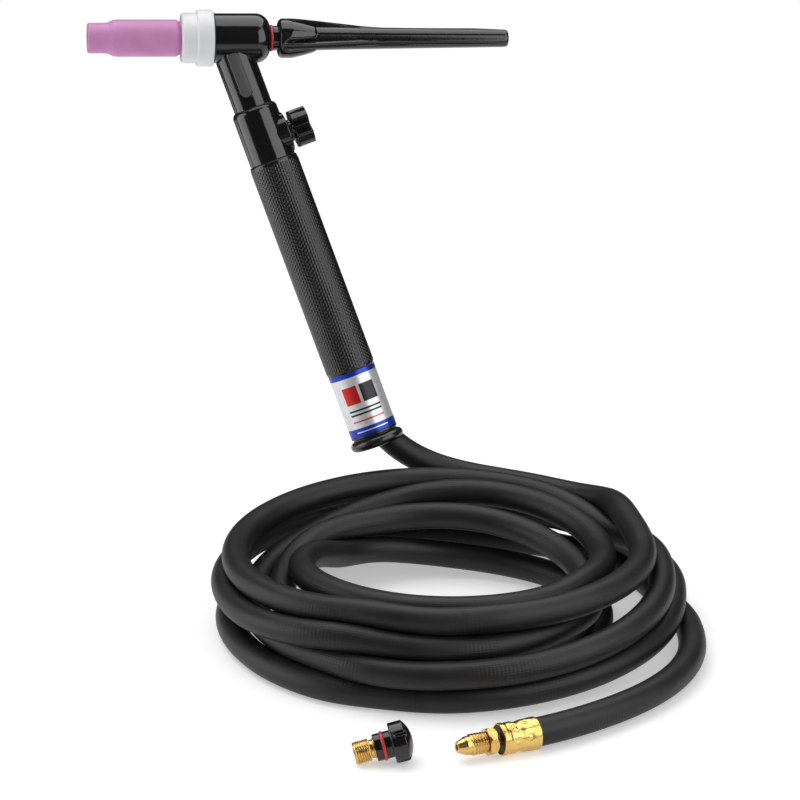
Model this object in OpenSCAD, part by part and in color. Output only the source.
// Air-cooled TIG torch with a gas valve, standing over its coiled hose.
// Millimetres. +X runs from the nozzle towards the back cap, +Y away from the
// side with the neck panel, +Z up. The floor is z = 0, and the origin is on the
// floor below the middle of the torch and its spare cap.

/* [Head] */
// Outside diameter of the moulded head
head_d = 23.8; // [20:0.1:30]
// Head length in front of the neck's axis
head_front = 6.9; // [6:0.1:12]
// Head length behind the neck's axis
head_back = 20.4; // [19:0.1:26]
// Radius of the head's rear edge
head_round = 7; // [2:0.5:7.5]
// Outside diameter of the brass core in the head
core_d = 16; // [15:0.1:17]
// Angle between the nozzle's line and the handle
head_angle = 70; // [55:1:90]

/* [Neck] */
// Outside diameter of the moulded neck
neck_d = 18.8; // [17:0.1:20]
// Length of the neck from the head's axis to the valve housing
neck_len = 35; // [28:0.5:50]
// Outside diameter of the neck tube
tube_d = 8; // [6:0.1:9]
// Length of the blank panel in the neck
panel_len = 24; // [10:0.5:25]
// Width of the blank panel in the neck
panel_w = 6.2; // [3:0.1:9]
// Depth of the blank panel in the neck
panel_depth = 0.5; // [0.2:0.1:1]

/* [Nozzle] */
// Overall length of the cup
cup_len = 47.6; // [40:0.1:60]
// Diameter of the cup's mouth
cup_bore_d = 9.5; // [8:0.1:11]
// Outside diameter of the cup at its mouth
cup_tip_d = 14.6; // [13:0.1:16]
// Outside diameter of the cup's body
cup_d = 17.8; // [16.5:0.1:20]
// Outside diameter of the cup's rear shoulder
shoulder_d = 15.3; // [14.5:0.1:16.5]
// Overall length of the cup gasket
gasket_len = 15.6; // [12:0.1:20]
// Large diameter of the cup gasket
gasket_d = 27.3; // [25:0.1:30]
// Small diameter of the cup gasket
gasket_small_d = 24.2; // [20:0.1:25]
// How far the cup's shoulder sits in the gasket
cup_seat = 2.8; // [1:0.1:5]
// Diameter of the thread that holds the cup
cup_thread_d = 11.4; // [10.5:0.1:12]
// Diameter of the tungsten electrode
electrode_d = 2.4; // [1.6:0.1:3.2]
// Length of the tungsten electrode
electrode_len = 178; // [150:1:182]
// How far the electrode's tip lies inside the cup's mouth
electrode_inset = 5.5; // [5:0.5:8]

/* [Back cap] */
// Diameter of the cap's brass thread
cap_thread_d = 10; // [9:0.1:10.6]
// Length of the cap's brass thread
cap_thread_len = 7; // [5:0.1:7.5]
// Pitch of the cap's thread
cap_pitch = 1; // [0.5:0.05:1.5]
// Diameter of the cap's neck
cap_neck_d = 11.8; // [11.4:0.1:12]
// Outside diameter of the cap's O-ring
cap_ring_d = 12.9; // [12.6:0.1:13.6]
// Section diameter of the cap's O-ring
cap_ring_t = 1.5; // [1:0.1:2]
// Outside diameter of the cap's skirt
skirt_d = 19; // [17:0.1:22]
// Distance from the head's rear face to the cap's far end
cap_reach = 116.5; // [112:0.1:130]
// Diameter of the cap's far end
cap_end_d = 8.4; // [7:0.1:10]
// Diameter of the cap's bore for the electrode's tail
cap_bore_d = 3.2; // [2.8:0.1:4]

/* [Valve] */
// Outside diameter of the valve housing
housing_d = 22.6; // [20.6:0.1:23.6]
// Length of the valve housing
housing_len = 27.7; // [26:0.1:34]
// Distance of the valve's axis from the housing's top
valve_drop = 17; // [13:0.1:18]
// Outside diameter of the valve boss
boss_d = 19.8; // [16:0.1:20.4]
// Distance of the boss's face from the handle's axis
boss_reach = 11.8; // [11.6:0.1:14]
// Diameter of the packing gland
gland_d = 10.7; // [9:0.1:12]
// Height of the packing gland over the boss
gland_rise = 2.3; // [1.5:0.1:4]
// Diameter of the valve stem
stem_d = 4; // [3:0.1:5]
// Outside diameter of the valve knob
knob_d = 19.8; // [16:0.1:22]
// Length of the valve knob
knob_len = 8.1; // [7:0.1:12]
// Number of lobes on the valve knob
knob_lobes = 4; // [3:1:8]
// Width of each lobe of the valve knob
lobe_w = 7.6; // [3:0.1:8.4]

/* [Handle] */
// Outside diameter of the knurled grip
grip_d = 24.2; // [22.4:0.1:26]
// Length of the knurled grip
grip_len = 108; // [80:1:140]
// Bore of the handle
handle_bore_d = 17.4; // [17:0.1:18]
// Outside diameter over the label
label_d = 23.4; // [21:0.1:23.6]
// Length of the label
label_len = 31.2; // [20:0.1:40]
// Thickness of the label
label_t = 0.2; // [0.1:0.05:0.4]
// Diameter of the boot's bead
bead_d = 26.6; // [25:0.1:28]
// Length of the boot outside the handle
boot_len = 7.3; // [6:0.1:10]

/* [Hose] */
// Outside diameter of the hose
hose_d = 12.7; // [11:0.1:13]
// Inner radius of the coil
coil_in_r = 54; // [45:1:60]
// Outer radius of the coil
coil_out_r = 111; // [108:1:120]
// Height of the coil
coil_h = 46; // [40:1:50]

/* [Fitting] */
// Diameter of the fitting's thread
fitting_thread_d = 9.5; // [9:0.1:11]
// Length of the fitting's thread
fitting_thread_len = 8; // [6:0.1:12]
// Length of the fitting's nose
nose_len = 5.6; // [4:0.1:8]
// Size of the fitting's hexagon across its flats
hex_af = 11.1; // [10.5:0.1:14]
// Length of the fitting's hexagon
hex_len = 4; // [3:0.1:6]
// Outside diameter of the crimped ferrules
ferrule_d = 14.2; // [13.9:0.1:16]
// Length of the crimped ferrules
ferrule_len = 17.4; // [14:0.1:24]

/* [Spare cap] */
// Outside diameter of the spare cap's knob
spare_knob_d = 17.6; // [16:0.1:21]
// Number of flutes round the spare cap's knob
flutes = 4; // [3:1:8]
// Width of each flute of the spare cap's knob
flute_w = 3; // [2:0.1:4]
// Length of the spare cap's knob with its dome
spare_knob_len = 9.2; // [8:0.1:14]
// Length of the spare cap's plain body
spare_body_len = 2.8; // [2:0.1:8]

/* [Hidden] */
round_fn = 96;
fit_gap = 0.05;   // radial gap between pieces that are screwed or pressed together
run_gap = 0.08;   // radial gap between pieces that turn or slide in each other
face_gap = 0.1;   // gap between faces that meet
clear_gap = 0.3;  // gap between pieces that pass each other

// Where things stand on the floor
head_at = [-34.1, 143.5, 243.9];
torch_turn = [-16.8, 1.85, 8];
coil_at = [71, -3.5, 0];
fitting_at = [73, -158.5, ferrule_d / 2];
fitting_turn = 24;
spare_at = [29.5, -160, 0];
spare_turn = 8;

// Head, along the head's axis
thread_front_r = 4.75;
core_front_depth = 10.5;
core_back = head_back - 1.4;
panel_x = 18;
panel_turn = 9;
neck_root = 6;
collar_len = 3.1;
collar_x = head_back - collar_len;
insert_neck_len = 2.1;
insert_x = collar_x - insert_neck_len - cap_thread_len;
cap_room = 9;
collet_d = 5;
collet_len = 50.8;
collet_back = insert_x + cap_thread_len + 0.3;
collet_x = collet_back - collet_len;
body_front = collet_x - 3.3;
spigot_len = 6.4;

// Nozzle, along the head's axis
gasket_x = -head_front - gasket_len;
cup_back = gasket_x + cup_seat;
cup_x = cup_back - cup_len;
cup_thread_len = 9.3;
cup_land = 7.6;
cup_taper = 6.8;
cup_wide_d = 11.8;

// Cap, along the head's axis
ring_r = (cap_ring_d - cap_ring_t) / 2;
ring_x = head_back + cap_ring_t / 2;
groove_r = ring_r - cap_ring_t / 2 - fit_gap;
skirt_x = head_back + cap_ring_t + 2.5;
skirt_len = 10.2;
rim_r = 2.3;
cap_end = head_back + cap_reach;
rib_end = head_back + 42.6;
rib_end_r = 6.1;
flat_r = 5.9;
insert_tail = 3.5;

// Handle, along the handle's axis
housing_end = neck_len + housing_len;
valve_at = neck_len + valve_drop;
spigot_r = 7.5;
spigot_drop = 5;
block_top = neck_len + spigot_drop + 1;
block_r = 7;
block_end = housing_end + 13.3;
socket_len = 10;
collar_drop = 7.3;
grip_x = housing_end + 0.3;
grip_end = grip_x + grip_len;
label_end = grip_end + label_len;
boot_end = label_end + boot_len;
plug_len = 17;
nipple_x = block_end - socket_len;
nipple_hex_len = 5;
inner_hose_x = block_end + nipple_hex_len + 3;
inner_stem_len = 25;
bend_from = boot_end - 19.5;

// Valve, along the valve's axis
gland_x = boss_reach - 3.2;
gland_end = boss_reach + gland_rise;
knob_x = gland_end + clear_gap;
gland_room = 4;
stem_tip = 1.5;
stem_shoulder = 3.4;
stem_end = knob_x + 5.1;
hub_r = 6.2;

// Fitting, from its nose towards the hose
bore_r = 1.2;
barb_r = 2.5;
hex_x = nose_len + fitting_thread_len;
stem_x = hex_x + hex_len;
ferrule_x = stem_x + 2.2;
hose_end_x = ferrule_x + 0.6;
tail_x = ferrule_x + ferrule_len + 5;
ferrule_wall = ferrule_d / 2 - hose_d / 2 - fit_gap;

// Spare cap, from its brass end towards its dome
spare_collar_x = cap_thread_len + insert_neck_len;
spare_ring_x = spare_collar_x + collar_len + cap_ring_t / 2;
spare_body_x = spare_ring_x + cap_ring_t / 2;
spare_knob_x = spare_body_x + spare_body_len;
spare_tilt = atan((spare_knob_d - cap_thread_d) / 2 / spare_knob_x);
spare_lift = cap_thread_d / 2 * cos(spare_tilt);

// ---- Frames of reference ----

module torch() translate(head_at) rotate(torch_turn) children();
module down_handle() torch() rotate([0, head_angle, 0]) children();
module across_handle() translate([valve_at, 0, 0]) rotate([0, -90, 0]) children();
module out_of_valve() down_handle() across_handle() children();
module at_fitting() translate(fitting_at) rotate([0, 0, fitting_turn]) children();
module at_spare() translate(spare_at + [0, 0, spare_lift])
    rotate([0, 0, spare_turn]) rotate([0, -spare_tilt, 0]) children();

// The place of a point of the torch's own frame
function about_x(v, a) = [v.x, v.y * cos(a) - v.z * sin(a), v.y * sin(a) + v.z * cos(a)];
function about_y(v, a) = [v.x * cos(a) + v.z * sin(a), v.y, v.z * cos(a) - v.x * sin(a)];
function about_z(v, a) = [v.x * cos(a) - v.y * sin(a), v.x * sin(a) + v.y * cos(a), v.z];
function torch_point(v) =
    head_at + about_z(about_y(about_x(v, torch_turn.x), torch_turn.y), torch_turn.z);
function handle_point(s) = torch_point(about_y([s, 0, 0], head_angle));
function fitting_point(s) = fitting_at + about_z([s, 0, 0], fitting_turn);

// ---- Shapes that repeat ----

// A solid turned about X from an outline of [x, radius] points
module lathe(outline) rotate([0, 90, 0])
    rotate_extrude($fn = round_fn) polygon([for (p = outline) [p[1], p[0]]]);

// A round rod along X
module rod(from, to, r) translate([from, 0, 0]) rotate([0, 90, 0])
    cylinder(h = to - from, r = r, $fn = round_fn);

// A quarter or other arc of an outline
function arc(x, r, radius, a0, a1, steps = 6) =
    [for (i = [0:steps]) let (a = a0 + (a1 - a0) * i / steps)
        [x + radius * cos(a), r + radius * sin(a)]];

module ring(x, r, section_d) translate([x, 0, 0]) rotate([0, 90, 0])
    rotate_extrude($fn = round_fn) translate([r, 0]) circle(d = section_d, $fn = 32);

// A bar round a slot: two round ends and a middle
module stadium(length, width) {
    square([length - width, width], center = true);
    for (side = [-1, 1]) translate([side * (length - width) / 2, 0])
        circle(d = width, $fn = 48);
}

// A lobed knob along X: a hub with square lobes out to its diameter
module lobed(from, to, d, hub_r) translate([from, 0, 0]) rotate([0, 90, 0])
    linear_extrude(height = to - from) intersection() {
        circle(d = d, $fn = round_fn);
        union() {
            circle(r = hub_r, $fn = round_fn);
            for (i = [0:knob_lobes - 1]) rotate(i * 360 / knob_lobes)
                translate([0, -lobe_w / 2]) square([d, lobe_w]);
        }
    }

// A hose swept through the points of a route
function unit(v) = v / norm(v);
function heading(route, i) = unit(
    route[min(i + 1, len(route) - 1)] - route[max(i - 1, 0)]);
module hose_along(route, side) {
    n = 12;
    last = len(route) - 1;
    rings = [for (i = [0:last]) let (
            ahead = heading(route, i),
            u = unit(cross(ahead, side)),
            w = cross(ahead, u))
        for (k = [0:n - 1])
            route[i] + hose_d / 2 * (cos(k * 360 / n) * u + sin(k * 360 / n) * w)];
    walls = [for (i = [0:last - 1], k = [0:n - 1])
        [i * n + k, i * n + (k + 1) % n, (i + 1) * n + (k + 1) % n, (i + 1) * n + k]];
    near_end = [[for (k = [n - 1:-1:0]) k]];
    far_end = [[for (k = [0:n - 1]) last * n + k]];
    polyhedron(rings, concat(walls, near_end, far_end), convexity = 6);
}

// ---- Routes of the hose that is not coiled ----

lead_route = concat(
    [handle_point(bend_from), handle_point(bend_from + 6)],
    [for (p = [[-34, 101.5, 58.3], [-29, 100.6, 52.9], [-23, 100.6, 48.8], [-15, 101.5, 44.4],
               [-6, 103, 39.9], [4, 104, 36], [15, 102.5, 33]]) coil_at + p]);

tail_route = concat(
    [for (p = [[107, -6, 6.5], [111, -20, 6.5], [112.5, -36, 6.5], [111, -52, 6.5],
               [106, -68, 6.5], [97.5, -85, 6.5], [87, -99.5, 6.5], [74, -112.5, 6.6],
               [59, -125, 6.9]]) coil_at + p],
    [fitting_point(tail_x + 4), fitting_point(tail_x)]);

// ---- Nozzle ----

module cup() color("orchid") torch() difference() {
    lathe(concat(
        [[cup_x, 0], [cup_x, cup_tip_d / 2 - 0.4], [cup_x + 0.4, cup_tip_d / 2],
         [cup_x + cup_land, cup_tip_d / 2],
         [cup_x + cup_land + cup_taper * 0.3, cup_tip_d / 2 + (cup_d - cup_tip_d) * 0.1],
         [cup_x + cup_land + cup_taper * 0.7, cup_d / 2 - (cup_d - cup_tip_d) * 0.1],
         [cup_x + cup_land + cup_taper, cup_d / 2]],
        arc(gasket_x - 1.4 - 2, cup_d / 2 - 2, 2, 90, 30),
        [[gasket_x - 0.4, shoulder_d / 2], [cup_back, shoulder_d / 2], [cup_back, 0]]));
    rod(cup_x - 1, cup_back, cup_bore_d / 2);
    lathe([[cup_x + 14, 0], [cup_x + 14, cup_bore_d / 2], [cup_x + 20, cup_wide_d / 2 - 0.6],
           [cup_back - cup_thread_len, cup_wide_d / 2 - 0.6], [cup_back - cup_thread_len, 0]]);
    rod(cup_back - cup_thread_len, cup_back + 1, cup_thread_d / 2 + run_gap);
}

module cup_gasket() color("white") torch() difference() {
    step_x = gasket_x + gasket_len * 0.47;
    lathe(concat(
        [[gasket_x, 0], [gasket_x, gasket_small_d / 2 - 1]],
        arc(gasket_x + 1, gasket_small_d / 2 - 1, 1, 180, 90, 4),
        [[step_x, gasket_small_d / 2]],
        arc(step_x + 1.2, gasket_d / 2 - 1.2, 1.2, 180, 90, 4),
        [[-head_front - face_gap - 0.6, gasket_d / 2],
         [-head_front - face_gap, gasket_d / 2 - 0.6], [-head_front - face_gap, 0]]));
    rod(gasket_x - 1, -head_front + 1, cup_thread_d / 2 + run_gap);
    rod(gasket_x - 1, cup_back + face_gap, shoulder_d / 2 + run_gap);
}

module collet_body() color("goldenrod") torch() difference() {
    union() {
        rod(body_front, cup_back - cup_thread_len + 0.5, 4.6);
        rod(cup_back - cup_thread_len + 0.5, -head_front - face_gap, cup_thread_d / 2);
        rod(-head_front - face_gap, -head_front + spigot_len, thread_front_r);
    }
    rod(collet_x + 0.5, -head_front + spigot_len + 1, collet_d / 2 + fit_gap);
    rod(body_front - 1, collet_x + 1, electrode_d / 2 + fit_gap * 2);
    for (i = [0:3]) translate([body_front + 6, 0, 0]) rotate([i * 90, 0, 0])
        cylinder(h = 6, d = 1.6, $fn = 32);
}

module collet() color("peru") torch() difference() {
    rod(collet_x + 0.6, collet_back, collet_d / 2);
    rod(collet_x - 1, collet_back + 1, electrode_d / 2 + fit_gap);
    for (a = [0, 90]) rotate([a, 0, 0]) translate([collet_x - 1, -0.25, -collet_d])
        cube([18, 0.5, collet_d * 2]);
}

module electrode() color("silver") torch() {
    tip = cup_x + electrode_inset;
    lathe([[tip, 0], [tip, 0.2], [tip + 4, electrode_d / 2],
           [tip + electrode_len, electrode_d / 2], [tip + electrode_len, 0]]);
}

// ---- Head and neck ----

module head_shell() color("black") torch() difference() {
    union() {
        lathe(concat(
            [[-head_front, 0], [-head_front, head_d / 2 - 0.8],
             [-head_front + 0.8, head_d / 2]],
            arc(head_back - head_round, head_d / 2 - head_round, head_round, 90, 10, 8),
            [[head_back, head_d / 2 - head_round], [head_back, 0]]));
        rotate([0, head_angle, 0]) {
            rod(neck_root, neck_len, neck_d / 2);
            rod(neck_root, neck_len + spigot_drop, spigot_r);
        }
    }
    rotate([0, head_angle, 0]) {
        rod(0, neck_len + spigot_drop + 1, tube_d / 2 + fit_gap);
        rotate([panel_turn, 0, 0]) translate([panel_x, panel_depth - neck_d / 2, 0])
            rotate([90, 0, 0]) linear_extrude(height = head_d) stadium(panel_len, panel_w);
    }
    rod(-head_front - 1, core_back + fit_gap, core_d / 2 + fit_gap);
    rod(0, head_back + 1, cap_neck_d / 2 + fit_gap * 2);
}

module head_core() color("goldenrod") torch() difference() {
    rod(-head_front, core_back, core_d / 2);
    rod(-head_front - 1, -head_front + core_front_depth, thread_front_r + fit_gap);
    rod(0, core_back, collet_d / 2 + 0.6);
    rod(insert_x - clear_gap, core_back, cap_thread_d / 2 + run_gap);
    rod(collar_x - clear_gap, core_back + 1, cap_neck_d / 2 + fit_gap * 2);
    rotate([0, head_angle, 0]) rod(core_d / 2 - 2.2, core_d, tube_d / 2 + fit_gap);
    rotate([0, head_angle, 0]) rod(0, core_d, 2);
}

module neck_tube() color("goldenrod") down_handle() difference() {
    rod(core_d / 2 - 2.1, block_top + 4, tube_d / 2);
    rod(0, block_top + 5, tube_d / 2 - 1.5);
}

// ---- Back cap ----

module cap_insert_shape() difference() {
    union() {
        rod(0, cap_thread_len, cap_thread_d / 2);
        rod(0, cap_thread_len + insert_neck_len + insert_tail, cap_thread_d / 2 - 0.6);
    }
    rod(-1, cap_thread_len + 1, collet_d / 2 + 0.4);
    rod(0, cap_thread_len + insert_neck_len + insert_tail + 1, cap_bore_d / 2);
}

module back_cap() color("black") torch() difference() {
    union() {
        lathe(concat(
            [[collar_x, 0], [collar_x, cap_neck_d / 2], [head_back, cap_neck_d / 2],
             [head_back, groove_r], [head_back + cap_ring_t, groove_r],
             [head_back + cap_ring_t, cap_neck_d / 2], [skirt_x, cap_neck_d / 2]],
            arc(skirt_x + rim_r, skirt_d / 2 - rim_r, rim_r, 180, 90, 6),
            [[skirt_x + skirt_len, skirt_d / 2]],
            arc(skirt_x + skirt_len, flat_r - 0.4, skirt_d / 2 - flat_r + 0.4, 80, 10, 6),
            [[rib_end, flat_r - 0.8], [cap_end - 2, cap_end_d / 2],
             [cap_end - 0.6, cap_end_d / 2 - 0.4], [cap_end, cap_end_d / 2 - 1.6], [cap_end, 0]]));
        for (i = [0:2]) rotate([i * 120, 0, 0]) translate([0, 1.6, 0]) rotate([90, 0, 0])
            linear_extrude(height = 3.2) polygon([
                [skirt_x + skirt_len - 3, 0], [skirt_x + skirt_len - 3, skirt_d / 2 - 0.2],
                [skirt_x + skirt_len + 1, skirt_d / 2 - 0.25],
                [rib_end, rib_end_r], [cap_end - 4, cap_end_d / 2 - 0.1], [cap_end - 4, 0]]);
    }
    rod(collar_x - 1, collar_x + insert_tail + fit_gap, cap_thread_d / 2 - 0.6 + fit_gap);
    rod(collar_x, cap_end - 4, cap_bore_d / 2);
    difference() {
        rod(skirt_x - 1, skirt_x + 6, skirt_d / 2 - rim_r - fit_gap);
        rod(skirt_x - 2, skirt_x + 7, cap_neck_d / 2);
    }
}

module cap_insert() color("goldenrod") torch() translate([insert_x, 0, 0]) cap_insert_shape();

module cap_ring() color("red") torch() ring(ring_x, ring_r, cap_ring_t);

// ---- Gas valve ----

module valve_housing() color("black") down_handle() difference() {
    union() {
        lathe(concat(
            [[neck_len + face_gap, 0]],
            arc(neck_len + face_gap + 2.4, housing_d / 2 - 2.8, 2.4, 180, 90),
            [[housing_end, housing_d / 2], [housing_end, handle_bore_d / 2 - fit_gap],
             [housing_end + collar_drop, handle_bore_d / 2 - fit_gap],
             [housing_end + collar_drop, 0]]));
        across_handle() rod(0, boss_reach, boss_d / 2);
    }
    rod(0, block_top, spigot_r + fit_gap);
    rod(block_top - 1, housing_end + collar_drop + 1, block_r + fit_gap);
    across_handle() rod(0, boss_reach + 1, gland_d / 2 + fit_gap);
}

module valve_block() color("goldenrod") down_handle() difference() {
    union() {
        rod(block_top, housing_end - 1, block_r);
        rod(block_top, block_end, block_r - 0.5);
        across_handle() rod(0, gland_x - face_gap, gland_d / 2);
    }
    rod(block_top - 1, block_top + 4 + face_gap, tube_d / 2 + fit_gap);
    rod(block_top, block_end - socket_len + 1, 1.8);
    rod(block_end - socket_len - face_gap, block_end + 1, fitting_thread_d / 2 + fit_gap);
    across_handle() rod(0, stem_shoulder, 1.2);
    across_handle() rod(3, gland_x + 1, stem_d / 2 + run_gap);
}

module valve_gland() color("dimgray") out_of_valve() difference() {
    rod(gland_x, gland_end, gland_d / 2);
    rod(gland_x - 1, gland_end + 1, stem_d / 2 + run_gap);
    rod(gland_x - 1, gland_x + gland_room, stem_d / 2 + 1.5);
}

module valve_stem() color("goldenrod") out_of_valve()
    lathe([[stem_tip, 0], [stem_tip, 0.3], [stem_tip + 1.2, 1], [stem_shoulder - 0.4, 1],
           [stem_shoulder, stem_d / 2], [stem_end, stem_d / 2], [stem_end, 0]]);

module stem_ring() color("dimgray") out_of_valve()
    ring(gland_x + 1.2, stem_d / 2 + fit_gap + 0.65, 1.3);

module valve_knob() color("black") out_of_valve() difference() {
    rotate([180 / knob_lobes, 0, 0])
        lobed(knob_x, knob_x + knob_len, knob_d, hub_r);
    rod(knob_x - 1, stem_end + 0.1, stem_d / 2 + fit_gap);
}

// ---- Handle ----

module grip() color("black") down_handle() difference() {
    lathe([[grip_x, 0], [grip_x, grip_d / 2 - 0.5], [grip_x + 0.5, grip_d / 2],
           [grip_end - 0.3, grip_d / 2], [grip_end, grip_d / 2 - 0.3],
           [grip_end, label_d / 2 - label_t - fit_gap],
           [label_end, label_d / 2 - label_t - fit_gap], [label_end, 0]]);
    rod(grip_x - 1, label_end + 1, handle_bore_d / 2);
}

module label() color("silver") down_handle() difference() {
    rod(grip_end + face_gap, label_end - face_gap, label_d / 2);
    rod(grip_end - 1, label_end + 1, label_d / 2 - label_t);
}

module boot() color("black") down_handle() difference() {
    bead_r = 2.55;
    lathe(concat(
        [[label_end - plug_len, 0], [label_end - plug_len, handle_bore_d / 2 - fit_gap],
         [label_end + face_gap, handle_bore_d / 2 - fit_gap],
         [label_end + face_gap, label_d / 2], [label_end + 1.3, label_d / 2],
         [label_end + 1.6, label_d / 2 - 0.9], [label_end + 2.1, label_d / 2 - 0.9]],
        arc(boot_end - bead_r, bead_d / 2 - bead_r, bead_r, 150, 0, 8),
        [[boot_end, 0]]));
    lathe([[label_end - plug_len - 1, 0], [label_end - plug_len - 1, hose_d / 2 + 0.15],
           [bend_from + 3, hose_d / 2 + 0.25], [bend_from + 10, hose_d / 2 + 1.6],
           [bend_from + 15, hose_d / 2 + 3], [boot_end, hose_d / 2 + 5.1],
           [boot_end + 1, hose_d / 2 + 5.1], [boot_end + 1, 0]]);
}

module cable_nipple() color("goldenrod") down_handle() difference() {
    union() {
        rod(nipple_x, block_end, fitting_thread_d / 2);
        translate([block_end + face_gap, 0, 0]) rotate([0, 90, 0])
            cylinder(h = nipple_hex_len, d = 14.4, $fn = 6);
        rod(nipple_x, inner_hose_x + inner_stem_len, barb_r);
    }
    rod(nipple_x - 1, inner_hose_x + inner_stem_len + 1, bore_r);
}

module inner_ferrule() color("goldenrod") down_handle() difference() {
    rod(inner_hose_x, inner_hose_x + ferrule_len, ferrule_d / 2);
    rod(inner_hose_x - 1, inner_hose_x + ferrule_len + 1, hose_d / 2 + fit_gap);
}

module hose_inner() color("black") down_handle() difference() {
    rod(inner_hose_x - 0.6, bend_from, hose_d / 2);
    rod(inner_hose_x - 1, inner_hose_x + inner_stem_len + 1, barb_r + fit_gap);
}

// ---- Hose and its fitting ----

module hose_lead() color("black") hose_along(lead_route, [0, 1, 0]);

module hose_coil() color("black") translate(coil_at) rotate_extrude($fn = round_fn)
    polygon([[coil_in_r + 8, 0], [coil_out_r - 4, 0], [coil_out_r, 6], [coil_out_r, 26],
             [coil_out_r - 8, 36], [coil_out_r - 20, coil_h], [coil_in_r + 10, coil_h],
             [coil_in_r, coil_h - 12], [coil_in_r, 8]]);

module hose_tail() color("black") hose_along(tail_route, [0, 0, 1]);

module hose_end() color("black") at_fitting() difference() {
    rod(hose_end_x, tail_x, hose_d / 2);
    rod(hose_end_x - 1, ferrule_x + ferrule_len - 1, barb_r + fit_gap);
}

module ferrule() color("gold") at_fitting() difference() {
    r = ferrule_d / 2;
    lathe([[ferrule_x, 0], [ferrule_x, r - 0.4], [ferrule_x + 0.4, r], [ferrule_x + 5.6, r],
           [ferrule_x + 6.6, r - 0.4], [ferrule_x + 8.6, r - 0.4], [ferrule_x + 9.6, r],
           [ferrule_x + 11, r], [ferrule_x + 12, r - 0.4], [ferrule_x + 14, r - 0.4],
           [ferrule_x + 15, r], [ferrule_x + ferrule_len, r], [ferrule_x + ferrule_len, 0]]);
    rod(ferrule_x - 1, ferrule_x + ferrule_len + 1, hose_d / 2 + fit_gap);
}

module fitting() color("gold") at_fitting() difference() {
    thread_r = fitting_thread_d / 2;
    union() {
        lathe([[0, 0], [0, 2], [0.5, 2.4], [nose_len - 2.2, thread_r - 1.2],
               [nose_len - 1.6, thread_r - 0.7], [nose_len, thread_r - 0.7], [nose_len, 0]]);
        rod(nose_len, hex_x, thread_r);
        intersection() {
            translate([hex_x, 0, 0]) rotate([0, 90, 0])
                cylinder(h = hex_len, d = hex_af / cos(30), $fn = 6);
            lathe([[hex_x, 0], [hex_x, hex_af / 2], [hex_x + 1.2, hex_af / 2 + 0.8],
                   [hex_x + hex_len - 1.2, hex_af / 2 + 0.8], [hex_x + hex_len, hex_af / 2],
                   [hex_x + hex_len, 0]]);
        }
        rod(hex_x, ferrule_x + ferrule_len - 2, barb_r);
    }
    rod(-1, ferrule_x + ferrule_len, bore_r);
}

// ---- Spare short cap ----

module spare_cap() color("black") at_spare() difference() {
    union() {
        lathe([[spare_collar_x, 0], [spare_collar_x, cap_neck_d / 2],
               [spare_ring_x - cap_ring_t / 2, cap_neck_d / 2],
               [spare_ring_x - cap_ring_t / 2, groove_r],
               [spare_body_x, groove_r], [spare_body_x, cap_neck_d / 2],
               [spare_knob_x + 1, cap_neck_d / 2], [spare_knob_x + 1, 0]]);
        lathe(concat(
            [[spare_knob_x, 0], [spare_knob_x, spare_knob_d / 2 - 0.5],
             [spare_knob_x + 0.5, spare_knob_d / 2],
             [spare_knob_x + spare_knob_len - 3.2, spare_knob_d / 2]],
            arc(spare_knob_x + spare_knob_len - 13.6, 0, 13.6, 40, 0, 8)));
    }
    for (i = [0:flutes - 1]) rotate([45 + i * 360 / flutes, 0, 0])
        translate([0, 0, spare_knob_d / 2])
            rod(spare_knob_x + 1.6, spare_knob_x + spare_knob_len, flute_w / 2);
    rod(spare_collar_x - 1, spare_collar_x + insert_tail + fit_gap,
        cap_thread_d / 2 - 0.6 + fit_gap);
    rod(spare_collar_x, spare_knob_x + spare_knob_len - 4, cap_bore_d / 2);
}

module spare_insert() color("goldenrod") at_spare() cap_insert_shape();

module spare_ring() color("red") at_spare() ring(spare_ring_x, ring_r, cap_ring_t);

// ---- Draw ----

cup();
cup_gasket();
collet_body();
collet();
electrode();
head_shell();
head_core();
neck_tube();
back_cap();
cap_insert();
cap_ring();
valve_housing();
valve_block();
valve_gland();
valve_stem();
stem_ring();
valve_knob();
grip();
label();
boot();
cable_nipple();
inner_ferrule();
hose_inner();
hose_lead();
hose_coil();
hose_tail();
hose_end();
ferrule();
fitting();
spare_cap();
spare_insert();
spare_ring();
